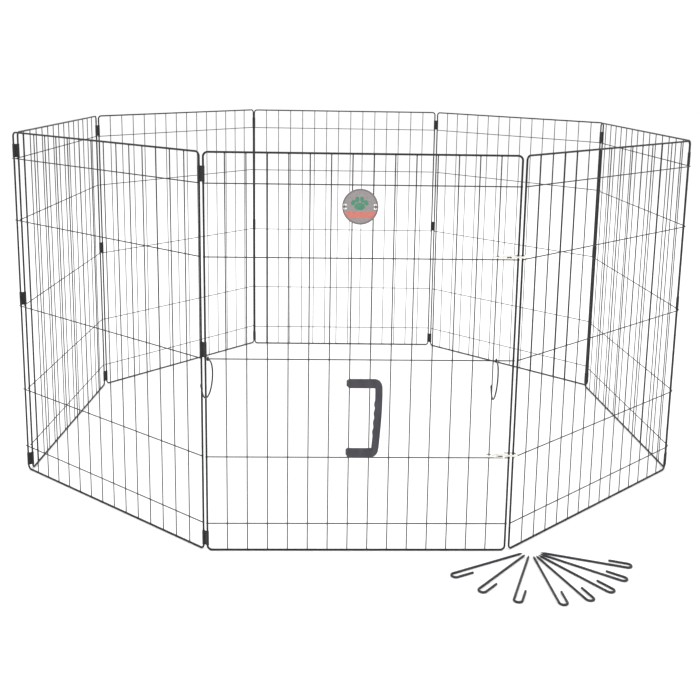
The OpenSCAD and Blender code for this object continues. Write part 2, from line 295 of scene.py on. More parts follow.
@dataclass(frozen=True)
class DrawnSteel(Finish):
    """Spring steel wire, cold drawn through a die and oiled.

    The die leaves fine lines along the wire and an oily, darker bloom.
    """

    bright: str = "#a3a7ab"
    bloom: str = "#6d7075"
    bloom_size: float = 3 * MM
    line: float = 0.3 * MM

    def shade(self, tree: bpy.types.NodeTree, shader: bpy.types.Node,
              place: bpy.types.NodeSocket) -> None:
        """Drawing lines and a dark bloom.

        Args:
            tree: Node tree of the material.
            shader: Its Principled shader.
            place: Object coordinates, in metres.
        """
        bloom = self.grain(tree, place, self.bloom_size, detail=3.0)
        # Die lines are a few hundredths of a millimetre apart: drawn at 0.3 mm to show
        lines = self.grain(tree, place, self.line, detail=1.0, stretch=(0.1, 1, 1))
        tree.links.new(ramp(tree, bloom, [(0.35, self.bloom), (0.6, self.bright)]),
                       shader.inputs["Base Color"])
        tree.links.new(self.spread(tree, lines, 0.26, 0.42), shader.inputs["Roughness"])
        self.relief(tree, shader, [(lines, 0.3, 0.02 * MM)])
        shader.inputs["Metallic"].default_value = 1.0


@dataclass(frozen=True)
class SparkTexturedNylon(Finish):
    """Glass-filled nylon, injection moulded in a spark-eroded tool.

    The tool prints a fine matt pebble on it, the melt leaves faint flow clouds, and hands
    polish it a little.
    """

    body: str = "#25232b"
    worn: str = "#35323c"
    flow: float = 16 * MM
    pebble: float = 0.7 * MM
    ior: float = 1.53

    def shade(self, tree: bpy.types.NodeTree, shader: bpy.types.Node,
              place: bpy.types.NodeSocket) -> None:
        """Pebbled skin with flow clouds.

        Args:
            tree: Node tree of the material.
            shader: Its Principled shader.
            place: Object coordinates, in metres.
        """
        flow = self.grain(tree, place, self.flow, detail=3.0, stretch=(1, 1, 0.35))
        # A spark-eroded pebble is about 0.2 mm wide: drawn three times as coarse to show
        pebbles = self.grain(tree, place, self.pebble, roughness=0.6)
        both = add(tree, "ShaderNodeMix", {"Factor": 0.3}, {"A": flow, "B": pebbles},
                   data_type="FLOAT")
        tree.links.new(ramp(tree, both.outputs["Result"], [(0.38, self.body), (0.64, self.worn)]),
                       shader.inputs["Base Color"])
        tree.links.new(self.spread(tree, both.outputs["Result"], 0.6, 0.44),
                       shader.inputs["Roughness"])
        self.relief(tree, shader, [(flow, 0.15, 0.3 * MM), (pebbles, 0.5, 0.09 * MM)])
        shader.inputs["IOR"].default_value = self.ior


@dataclass(frozen=True)
class Blot:
    """One inked oval of the badge's print, in millimetres from the badge's middle."""

    x: float
    z: float
    wide: float
    high: float
    turn: float = 0.0


@dataclass(frozen=True)
class PrintedTin(Finish):
    """Tinned sheet, litho printed and varnished, then stamped into a badge.

    The ink sits in thin flat fields with a slight offset mottle, and the stamping leaves
    a soft satin varnish over them.
    """

    middle: tuple[float, float, float] = (-5 * MM, -3.6 * MM, 699 * MM)
    face_r: float = 30.8
    field_ink: tuple[str, str] = ("#777271", "#8c8685")
    rim_ink: str = "#6a6466"
    leaf_ink: tuple[str, str] = ("#256249", "#43896a")
    band_ink: tuple[str, str] = ("#a9584c", "#c07364")
    eyelet_ink: tuple[str, str] = ("#e9e8e4", "#f4f3f0")
    mottle: float = 2.4 * MM
    wave: float = 9 * MM
    band: tuple[float, float] = (-21.5, -8.4)
    paw: tuple[Blot, ...] = (Blot(-1.2, 0.4, 10.2, 7.0), Blot(-13.4, 7.6, 3.9, 5.6, 24),
                             Blot(-5.8, 13.4, 3.9, 5.8, 8), Blot(3.4, 13.4, 3.9, 5.8, -8),
                             Blot(11.0, 7.6, 3.9, 5.6, -24))
    eyelets: tuple[Blot, ...] = (Blot(-28.4, 3.5, 3.2, 1.7), Blot(-28.4, -3.5, 3.2, 1.7),
                                 Blot(28.4, 3.5, 3.2, 1.7), Blot(28.4, -3.5, 3.2, 1.7))

    def oval(self, tree: bpy.types.NodeTree, place: bpy.types.NodeSocket,
             blot: Blot, soft: float = 0.06) -> bpy.types.NodeSocket:
        """Mask of one oval: one inside length((x, z) / (wide, high)) = 1, nothing outside.

        Args:
            tree: Node tree of the material.
            place: Object coordinates, in metres.
            blot: Place and size of the oval.
            soft: Width of the edge, as a part of the oval's size.

        Returns:
            The mask's value socket.
        """
        at = (self.middle[0] + blot.x * MM, self.middle[1], self.middle[2] + blot.z * MM)
        size = (blot.wide * MM, 1.0, blot.high * MM)
        local = add(tree, "ShaderNodeMapping",
                    {"Location": at, "Rotation": (0, math.radians(blot.turn), 0),
                     "Scale": size}, {"Vector": place}, vector_type="TEXTURE")
        flat = add(tree, "ShaderNodeVectorMath", {1: (1, 0, 1)}, {0: local.outputs["Vector"]},
                   operation="MULTIPLY")
        far = add(tree, "ShaderNodeVectorMath", links={0: flat.outputs["Vector"]},
                  operation="LENGTH")
        return self.spread(tree, far.outputs["Value"], 1.0, 0.0, 1 - soft, 1 + soft)

    def ovals(self, tree: bpy.types.NodeTree, place: bpy.types.NodeSocket,
              blots: Sequence[Blot]) -> bpy.types.NodeSocket:
        """Mask of several ovals: the largest of their masks.

        Args:
            tree: Node tree of the material.
            place: Object coordinates, in metres.
            blots: The ovals.

        Returns:
            The mask's value socket.
        """
        mask = self.oval(tree, place, blots[0])
        for blot in blots[1:]:
            mask = add(tree, "ShaderNodeMath", links={0: mask, 1: self.oval(tree, place, blot)},
                       operation="MAXIMUM").outputs[0]
        return mask

    def inked(self, tree: bpy.types.NodeTree, below: bpy.types.NodeSocket,
              ink: bpy.types.NodeSocket, mask: bpy.types.NodeSocket) -> bpy.types.NodeSocket:
        """Lay an ink over the colour below where its mask is one.

        Args:
            tree: Node tree of the material.
            below: Colour under the ink.
            ink: Colour of the ink.
            mask: Value socket of the mask.

        Returns:
            The mixed colour's socket.
        """
        node = add(tree, "ShaderNodeMix", links={"Factor": mask, 6: below, 7: ink},
                   data_type="RGBA")
        return node.outputs[2]

    def shade(self, tree: bpy.types.NodeTree, shader: bpy.types.Node,
              place: bpy.types.NodeSocket) -> None:
        """Grey field, darker rim, a band below, a paw above it and a white eyelet at each hole.

        Args:
            tree: Node tree of the material.
            shader: Its Principled shader.
            place: Object coordinates, in metres.
        """
        mottle = self.grain(tree, place, self.mottle, detail=5.0, roughness=0.75)
        colour = ramp(tree, mottle, [(0.35, self.field_ink[0]), (0.65, self.field_ink[1])])
        face = self.oval(tree, place, Blot(0, 0, self.face_r, self.face_r), 0.01)
        rim = add(tree, "ShaderNodeRGB")
        rim.outputs[0].default_value = linear(self.rim_ink)
        colour = self.inked(tree, rim.outputs[0], colour, face)
        split = add(tree, "ShaderNodeSeparateXYZ", links={0: place})
        height = split.outputs["Z"]
        low, high = (self.middle[2] + z * MM for z in self.band)
        edge = 0.25 * MM
        above = self.spread(tree, height, 0.0, 1.0, low - edge, low + edge)
        under = self.spread(tree, height, 1.0, 0.0, high - edge, high + edge)
        strip = add(tree, "ShaderNodeMath", links={0: above, 1: under}, operation="MULTIPLY")
        strip = add(tree, "ShaderNodeMath", links={0: strip.outputs[0], 1: face},
                    operation="MULTIPLY")
        for pair, mask in ((self.band_ink, strip.outputs[0]),
                           (self.leaf_ink, self.ovals(tree, place, self.paw)),
                           (self.eyelet_ink, self.ovals(tree, place, self.eyelets))):
            ink = ramp(tree, mottle, list(zip((0.3, 0.7), pair)))
            colour = self.inked(tree, colour, ink, mask)
        tree.links.new(colour, shader.inputs["Base Color"])
        tree.links.new(self.spread(tree, mottle, 0.3, 0.46), shader.inputs["Roughness"])
        waves = self.grain(tree, place, self.wave, detail=1.0)
        self.relief(tree, shader, [(waves, 0.2, 0.3 * MM), (mottle, 0.2, 0.02 * MM)])
        shader.inputs["Coat Weight"].default_value = 0.4
        shader.inputs["Coat Roughness"].default_value = 0.15


@dataclass(frozen=True)
class MattPaper(Finish):
    """Wide studio floor of seamless matt paper: even, pale, with the faintest cloud."""

    tone: tuple[str, str] = ("#f8f8f8", "#fdfdfd")
    cloud: float = 1.5

    def shade(self, tree: bpy.types.NodeTree, shader: bpy.types.Node,
              place: bpy.types.NodeSocket) -> None:
        """Faint clouds on matt paper.

        Args:
            tree: Node tree of the material.
            shader: Its Principled shader.
            place: Object coordinates, in metres.
        """
        cloud = self.grain(tree, place, self.cloud)
        tree.links.new(ramp(tree, cloud, [(0.35, self.tone[0]), (0.65, self.tone[1])]),
                       shader.inputs["Base Color"])
        shader.inputs["Roughness"].default_value = 0.9


WIRE_COAT = DippedCoat("electrocoated_steel_wire", "#08080a", "#151518")
SLEEVE_COAT = DippedCoat("electrocoated_steel_sheet", "#0d0d0f", "#1c1c1f", pool=9 * MM)
STAKE_COAT = DippedCoat("painted_stake_wire", "#1d1b22", "#2d2b34", gloss=(0.42, 0.56),
                        pool=14 * MM)
TIE_COAT = DippedCoat("vinyl_dipped_tie_wire", "#1b1b1d", "#2e2e31", gloss=(0.4, 0.55),
                      pool=4 * MM, peel=0.5 * MM)
ZINC = ZincPlate("bright_zinc_die_casting")
SPRING = DrawnSteel("drawn_spring_steel")
NYLON = SparkTexturedNylon("moulded_grey_nylon")
TIN = PrintedTin("printed_tinplate")
PAPER = MattPaper("seamless_studio_paper")

# --------------------------------------------------------------------------- surfaces


@dataclass
class Shell:
    """A closed surface: its points and its faces."""

    points: np.ndarray
    faces: list[np.ndarray] = field(default_factory=list)

    def outward(self) -> "Shell":
        """Turn the faces outwards, by the sign of sum(a . (b x c)) / 6 over its triangles.

        Returns:
            This shell.
        """
        volume = 0.0
        for rows in self.faces:
            corner = self.points[rows]
            for k in range(1, rows.shape[1] - 1):
                cross = np.cross(corner[:, k], corner[:, k + 1])
                volume += float(np.einsum("ij,ij->", corner[:, 0], cross)) / 6
        if volume < 0:
            self.faces = [rows[:, ::-1] for rows in self.faces]
        return self

    def moved(self, matrix: np.ndarray, offset: Sequence[float]) -> "Shell":
        """Copy of the shell at matrix . p + offset.

        Args:
            matrix: Three by three rotation.
            offset: Place of the copy's origin.

        Returns:
            The new shell.
        """
        return Shell(self.points @ np.asarray(matrix).T + np.asarray(offset), list(self.faces))

    def repeated(self, offsets: np.ndarray) -> "Shell":
        """Copies of the shell at p + offset, as one.

        Args:
            offsets: One row per copy.

        Returns:
            The new shell.
        """
        count = len(self.points)
        points = (self.points[None] + offsets[:, None]).reshape(-1, 3)
        steps = (np.arange(len(offsets)) * count)[:, None, None]
        faces = [(rows[None] + steps).reshape(-1, rows.shape[1]) for rows in self.faces]
        return Shell(points, faces)


def skin(rings: np.ndarray, loop: bool = False) -> Shell:
    """Cover rings of points: ring i, point j joins ring i + 1, point j + 1.

    Args:
        rings: Points by ring, by place round the ring, by axis.
        loop: Whether the last ring joins the first; if not, each end closes on its middle.

    Returns:
        The closed shell, with its faces outwards.
    """
    count, around = rings.shape[:2]
    index = np.arange(count * around).reshape(count, around)
    ahead = np.roll(index, -1, axis=0) if loop else index[1:]
    here = index if loop else index[:-1]
    quads = np.stack([here, np.roll(here, -1, 1), np.roll(ahead, -1, 1), ahead], -1)
    points = rings.reshape(-1, 3)
    faces = [quads.reshape(-1, 4)]
    if not loop:
        first, last = count * around, count * around + 1
        points = np.vstack([points, rings[0].mean(0), rings[-1].mean(0)])
        start, end = index[0], index[-1]
        faces.append(np.stack([np.full(around, first), np.roll(start, -1), start], -1))
        faces.append(np.stack([np.full(around, last), end, np.roll(end, -1)], -1))
    return Shell(points, faces).outward()


def loft(path: np.ndarray, side: np.ndarray, up: np.ndarray, half_side: np.ndarray,
         half_up: np.ndarray, power: float = 2.0, around: int = 24) -> Shell:
    """Carry a rounded section along a path.

    The section at path point p is p + a f(cos t) side + b f(sin t) up, where
    f(v) = sign(v) |v|^(2 / power): an ellipse at power 2, and squarer above it.

    Args:
        path: Points of the path.
        side: Unit vector of the section's first axis at each point.
        up: Unit vector of its second axis at each point.
        half_side: Half width a at each point.
        half_up: Half height b at each point.
        power: Squareness of the section.
        around: Points round the section.

    Returns:
        The closed shell.
    """
    turn = np.linspace(0, 2 * np.pi, around, endpoint=False)
    across, along = (np.sign(v) * np.abs(v) ** (2 / power) for v in (np.cos(turn), np.sin(turn)))
    rings = (path[:, None] + (half_side[:, None] * across)[..., None] * side[:, None]
             + (half_up[:, None] * along)[..., None] * up[:, None])
    return skin(rings)


def arc(middle: Sequence[float], radius: float, start: float, sweep: float,
        steps: int) -> np.ndarray:
    """Points of a flat arc: middle + radius (cos t, sin t).

    Args:
        middle: Its centre.
        radius: Its radius.
        start: First angle, in degrees.
        sweep: Angle that it turns through, in degrees.
        steps: Number of points.

    Returns:
        One row of x and y per point.
    """
    angle = np.radians(np.linspace(start, start + sweep, steps))
    return np.asarray(middle) + radius * np.stack([np.cos(angle), np.sin(angle)], -1)


def wire(flat: np.ndarray, radius: float, taper: float = 0.0, point: float = 1.0,
         around: int = 18) -> Shell:
    """Round wire along a flat path in the XY plane, with rounded ends.

    Each end is a half ball: the path runs on by r sin(a) and the radius is r cos(a).
    Over the first taper metres the radius grows in a line from point * r to r.

    Args:
        flat: Points of the path, x and y.
        radius: Radius of the wire.
        taper: Length of the pointed end, at the start.
        point: Radius of that end's tip, as a part of the wire's.
        around: Points round the wire.

    Returns:
        The closed shell, about the plane z = 0.
    """
    steps = np.radians(np.array([80.0, 60.0, 40.0, 20.0]))
    heading = np.gradient(flat, axis=0)
    heading /= np.linalg.norm(heading, axis=1, keepdims=True)
    size = np.full(len(flat), radius)
    if taper:
        far = np.concatenate([[0], np.cumsum(np.linalg.norm(np.diff(flat, axis=0), axis=1))])
        size = radius * np.clip(point + (1 - point) * far / taper, point, 1)
    head = flat[0] - heading[0] * (size[0] * np.sin(steps))[:, None]
    tail = flat[-1] + heading[-1] * (size[-1] * np.sin(steps[::-1]))[:, None]
    path = np.vstack([head, flat, tail])
    ways = np.vstack([np.repeat(heading[:1], 4, 0), heading, np.repeat(heading[-1:], 4, 0)])
    size = np.concatenate([size[0] * np.cos(steps), size, size[-1] * np.cos(steps[::-1])])
    path, ways = (np.column_stack([v, np.zeros(len(v))]) for v in (path, ways))
    up = np.tile([0.0, 0.0, 1.0], (len(path), 1))
    return loft(path, np.cross(ways, up), up, size, size, around=around)


def turned(degrees: float, axis: str = "Z") -> np.ndarray:
    """Rotation about one of the frame's axes.

    Args:
        degrees: Angle by the right-hand rule.
        axis: Letter of the axis.

    Returns:
        Three by three matrix.
    """
    return np.array(Matrix.Rotation(math.radians(degrees), 3, axis))


def piece(name: str, shells: Iterable[Shell], finish: Finish, body: str,
          stands_for: Sequence[str] = ()) -> bpy.types.Object:
    """Make one object of shells, dress it and let it ride on its body.

    Args:
        name: Name of the object.
        shells: Closed surfaces, in place.
        finish: Its finish.
        body: Body that carries it.
        stands_for: Nodes that it replaces.

    Returns:
        The object.
    """
    points, faces, base = [], [], 0
    for shell in shells:
        points.append(shell.points)
        for rows in shell.faces:
            faces.extend((rows + base).tolist())
        base += len(shell.points)
    mesh = bpy.data.meshes.new(name)
    mesh.from_pydata(np.vstack(points).tolist(), [], faces)
    mesh.polygons.foreach_set("use_smooth", np.ones(len(faces), bool))
    mesh.materials.append(finish.material())
    mesh.update()
    made = bpy.data.objects.new(name, mesh)
    bpy.context.scene.collection.objects.link(made)
    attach(made, body)
    if stands_for:
        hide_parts(*stands_for)
    LOG.info("%s: %d faces on %s", name, len(faces), body)
    return made


def dress(node: str, finish: Finish) -> None:
    """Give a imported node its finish.

    Args:
        node: Name of the node.
        finish: The finish.
    """
    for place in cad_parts[node].material_slots:
        place.material = finish.material()
    LOG.info("%s: %s", node, finish.name)


# --------------------------------------------------------------------------- sub-assemblies


@dataclass(frozen=True)
class Ring:
    """Stance of the eight panels: a chain of side wires and links that closes on itself."""

    run: float = 596 * MM
    pitch: float = 9.6 * MM
    headings: tuple[float, ...] = (0.0, 40.5, 93.5, 136.877583,
                                   179.5, 226.749036, 266.5, 320.5)
    links: tuple[float, ...] = (20.25, 63.5, 31.5, 149.5,
                                117.5, 236.5, 204.5, -30.0)
    panels: tuple[str, ...] = ("front", "right_front", "right_back", "back_right",
                               "back", "back_left", "left_back", "left_front")
    corners: tuple[str, ...] = ("right", "right_rear", "rear_right", "rear_left",
                                "left_rear", "left", "front_left")
    hosts: tuple[str, ...] = ("right_back", "right_back", "back", "back",
                              "left_back", "left_back", "front")

    def starts(self) -> np.ndarray:
        """First side wire of each panel.

        Each start is the one before it plus run (cos h, sin h) plus pitch (cos l, sin l),
        for heading h and link heading l.

        Returns:
            One row of x and y per panel.
        """
        h, link = np.radians(self.headings), np.radians(self.links)
        steps = (self.run * np.stack([np.cos(h), np.sin(h)], -1)
                 + self.pitch * np.stack([np.cos(link), np.sin(link)], -1))
        return np.array([-self.run / 2, 0]) + np.vstack([[0.0, 0.0], np.cumsum(steps, 0)[:-1]])

    def panel(self, number: int) -> tuple[np.ndarray, np.ndarray]:
        """Rotation and place of a panel.

        Args:
            number: Its number, from the front panel to the right.

        Returns:
            The rotation and the offset.
        """
        return turned(self.headings[number]), np.array([*self.starts()[number], 0.0])

    def corner(self, number: int) -> tuple[np.ndarray, np.ndarray]:
        """Rotation and place of the middle of the link after a panel.

        Args:
            number: Number of the panel before it.

        Returns:
            The rotation and the offset.
        """
        h, link = math.radians(self.headings[number]), math.radians(self.links[number])
        end = self.starts()[number] + self.run * np.array([math.cos(h), math.sin(h)])
        middle = end + self.pitch / 2 * np.array([math.cos(link), math.sin(link)])
        return turned(math.degrees(link)), np.array([*middle, 0.0])


@dataclass
class WirePanels:
    """The eight welded grids: frame, uprights, rails and the nuggets where they are welded."""

    ring: Ring
    height: float = 800 * MM
    uprights: int = 14
    rails: tuple[float, ...] = (60 * MM, 200 * MM, 400 * MM, 600 * MM, 740 * MM)
    frame_d: float = 4 * MM
    cross_y: float = -1.88 * MM
    foot_y: float = -0.9 * MM
    crossing: tuple[float, float, float] = (3.1 * MM, 1.5 * MM, 3.1 * MM)
    collar: tuple[float, float, float] = (3.3 * MM, 3.3 * MM, 1.3 * MM)

    def nugget(self, wide: float, deep: float, high: float) -> Shell:
        """Squashed ball of metal pressed out of a spot weld.

        Its points are (wide cos a cos t, deep cos a sin t, high sin a) / 2, with a from
        bottom to top in three rings.

        Args:
            wide: Its width along x.
            deep: Its depth along y.
            high: Its height along z.

        Returns:
            The shell about its own middle.
        """
        rise = np.radians([-50.0, 0.0, 50.0])
        turn = np.radians(np.arange(0, 360, 45))
        rings = np.stack([wide / 2 * np.cos(rise)[:, None] * np.cos(turn),
                          deep / 2 * np.cos(rise)[:, None] * np.sin(turn),
                          high / 2 * np.sin(rise)[:, None] * np.ones_like(turn)], -1)
        shell = skin(rings)
        shell.points[-2:, 2] = [-high / 2, high / 2]
        return shell

    def nuggets(self) -> list[Shell]:
        """Nuggets at every crossing of one panel, in its own axes.

        Returns:
            Shells for the crossings, for the feet and heads of the uprights, and for the
            rails' ends on the side wires.
        """
        cell = self.ring.run / (self.uprights + 1)
        columns = cell * np.arange(1, self.uprights + 1)
        x, z = np.meshgrid(columns, self.rails)
        crossings = np.stack([x.ravel(), np.full(x.size, self.cross_y), z.ravel()], -1)
        x, z = np.meshgrid(columns, [self.frame_d, self.height - self.frame_d])
        feet = np.stack([x.ravel(), np.full(x.size, self.foot_y), z.ravel()], -1)
        x, z = np.meshgrid([0.0, self.ring.run], self.rails)
        ends = np.stack([x.ravel(), np.full(x.size, self.cross_y), z.ravel()], -1)
        small, collar = self.nugget(*self.crossing), self.nugget(*self.collar)
        return [small.repeated(crossings), collar.repeated(feet), small.repeated(ends)]

    def build(self) -> None:
        """Make each panel's nuggets."""
        shells = self.nuggets()
        for number, panel in enumerate(self.ring.panels):
            matrix, offset = self.ring.panel(number)
            piece(f"{panel}_weld_nuggets", [s.moved(matrix, offset) for s in shells],
                  WIRE_COAT, panel)

    def dress(self) -> None:
        """Coat the wires."""
        for panel in self.ring.panels:
            for part in ("frame", "uprights", "rails"):
                dress(f"{panel}_{part}", WIRE_COAT)


@dataclass
class HingeSleeves:
    """Strips of sheet rolled round two side wires and pinched flat between them."""

    ring: Ring
    wire_r: float = 2 * MM
    play: float = 0.06 * MM
    sheet: float = 0.8 * MM
    height: float = 30 * MM
    heights: tuple[float, ...] = (11.5 * MM, 402.15 * MM, 742.15 * MM)
    edge: float = 0.22 * MM
    lap: float = 0.35 * MM
    lap_x: float = 0.2 * MM
    lap_w: float = 0.45 * MM
    gap: float = 0.005 * MM

    def centreline(self) -> tuple[np.ndarray, np.ndarray]:
        """Middle of the sheet, seen from above.

        Two circles of radius r = wire + play + sheet / 2 joined by lines at
        y = +-(sheet / 2 + gap), then smoothed by a moving mean that rounds the joints.

        Returns:
            Points, and unit normals that point out of the loop.
        """
        r = self.wire_r + self.play + self.sheet / 2
        web = self.sheet / 2 + self.gap
        half = self.ring.pitch / 2
        meet = math.degrees(math.asin(web / r))
        right = arc((half, 0), r, -(180 - meet), 2 * (180 - meet), 60)
        left = arc((-half, 0), r, meet, 360 - 2 * meet, 60)
        reach = half - r * math.cos(math.radians(meet))
        line = np.linspace(reach, -reach, 14)[1:-1]
        top = np.stack([line, np.full(len(line), web)], -1)
        loop = np.vstack([right, top, left, -top])
        for _ in range(2):
            loop = (np.roll(loop, 1, 0) + 2 * loop + np.roll(loop, -1, 0)) / 4
        ahead = np.roll(loop, -1, 0) - np.roll(loop, 1, 0)
        ahead /= np.linalg.norm(ahead, axis=1, keepdims=True)
        return loop, np.stack([ahead[:, 1], -ahead[:, 0]], -1)

    def shell(self) -> Shell:
        """One sleeve: the sheet's section, with rounded edges, carried round the centreline.

        The section is (n, z) = (s f(cos t) / 2, h f(sin t) / 2) with f(v) = sign(v) |v|^(1/5)
        in thickness s and height h. Where the strip's ends meet, on the web, a groove of
        depth lap exp(-((x - lap_x) / lap_w)^2) is pressed into the sheet.

        Returns:
            The closed shell, standing on z = 0.
        """
        loop, out = self.centreline()
        rim, steps = self.edge, np.radians([0.0, 30.0, 60.0, 90.0])
        t, h = self.sheet / 2, self.height
        round_n, round_z = rim * np.cos(steps), rim * np.sin(steps)
        lift = np.linspace(rim, h - rim, 9)[1:-1]
        n = np.concatenate([np.full(len(lift), t), t - rim + round_n, -(t - rim) - round_n[::-1],
                            np.full(len(lift), -t), -(t - rim) - round_n, t - rim + round_n[::-1]])
        z = np.concatenate([lift, h - rim + round_z, h - rim + round_z[::-1], lift[::-1],
                            rim - round_z, rim - round_z[::-1]])
        seam = np.exp(-(((loop[:, 0] - self.lap_x) / self.lap_w) ** 2)) * (loop[:, 1] > 0)
        pressed = 1 - seam[:, None] * np.where(n > 0, self.lap / t, 0.0)
        rings = np.concatenate([loop[:, None] + (n * pressed)[..., None] * out[:, None],
                                np.broadcast_to(z, (len(loop), len(z)))[..., None]], -1)
        return skin(rings, loop=True)

    def build(self) -> None:
        """Make three sleeves at each hinged corner."""
        lifts = np.array([[0.0, 0.0, z] for z in self.heights])
        three = self.shell().repeated(lifts)
        for number, (corner, host) in enumerate(zip(self.ring.corners, self.ring.hosts), start=1):
            matrix, offset = self.ring.corner(number)
            piece(f"{corner}_rolled_sleeves", [three.moved(matrix, offset)], SLEEVE_COAT,
                  host, [f"hinge_sleeves_{corner}"])


@dataclass
class BoltSnaps:
    """The two bolt snaps that close the pen."""

    names: tuple[str, ...] = ("upper", "lower")

    def dress(self) -> None:
        """Plate the castings and leave the spring bare."""
        for name in self.names:
            for part in ("body", "eye", "bolt"):
                dress(f"{name}_snap_{part}", ZINC)
            dress(f"{name}_snap_spring", SPRING)


@dataclass
class StackRings:
    """Wire rings on the middle rail that hold the folded stack together."""

    rail: tuple[float, float] = (-2.9 * MM, 400 * MM)
    places: tuple[float, ...] = (-293.0 * MM, 263.8667 * MM)
    yaws: tuple[float, ...] = (-10.0, -20.0)
    names: tuple[str, ...] = ("left", "right")
    hang: float = -8.0
    wire_r: float = 1.5 * MM
    eye_r: float = 2.95 * MM
    eye_arc: tuple[float, float] = (20.0, 250.0)
    ring_r: float = 36 * MM
    sweep: float = 234.0
    tip: float = 19 * MM
    bend_play: float = 0.2 * MM
    back: float = 0.6

    def path(self) -> np.ndarray:
        """Line of the wire in the ring's own plane, origin on the rail, y up.

        An eye bent round the rail, the ring's arc clockwise from its top, a straight tip,
        and a U bend with a short leg back along it.

        Returns:
            One row of x and y per point.
        """
        eye = arc((0, 0), self.eye_r, *self.eye_arc, 26)
        middle = np.array([0, -self.eye_r - self.ring_r])
        ring = arc(middle, self.ring_r, 90, -self.sweep, 90)
        end = math.radians(90 - self.sweep)
        across = np.array([math.cos(end), math.sin(end)])
        ahead = np.array([math.sin(end), -math.cos(end)])
        u_r = self.wire_r + self.bend_play
        line = np.linspace(0, self.tip, 8)[1:, None] * ahead
        angle = np.radians(np.linspace(0, 180, 12))[1:, None]
        bend = self.tip * ahead + u_r * ((np.cos(angle) - 1) * across + np.sin(angle) * ahead)
        back = bend[-1] - np.linspace(0, self.back * self.tip, 6)[1:, None] * ahead
        return np.vstack([eye, ring[1:], ring[-1] + np.vstack([line, bend, back])])

    def build(self) -> None:
        """Make both rings where the rail holds them."""
        flat = wire(self.path(), self.wire_r)
        for name, x, yaw in zip(self.names, self.places, self.yaws):
            matrix = turned(90 + yaw) @ turned(90, "X") @ turned(self.hang)
            piece(f"{name}_bent_ring", [flat.moved(matrix, (x, *self.rail))], WIRE_COAT,
                  f"{name}_ring", [f"{name}_stack_ring"])


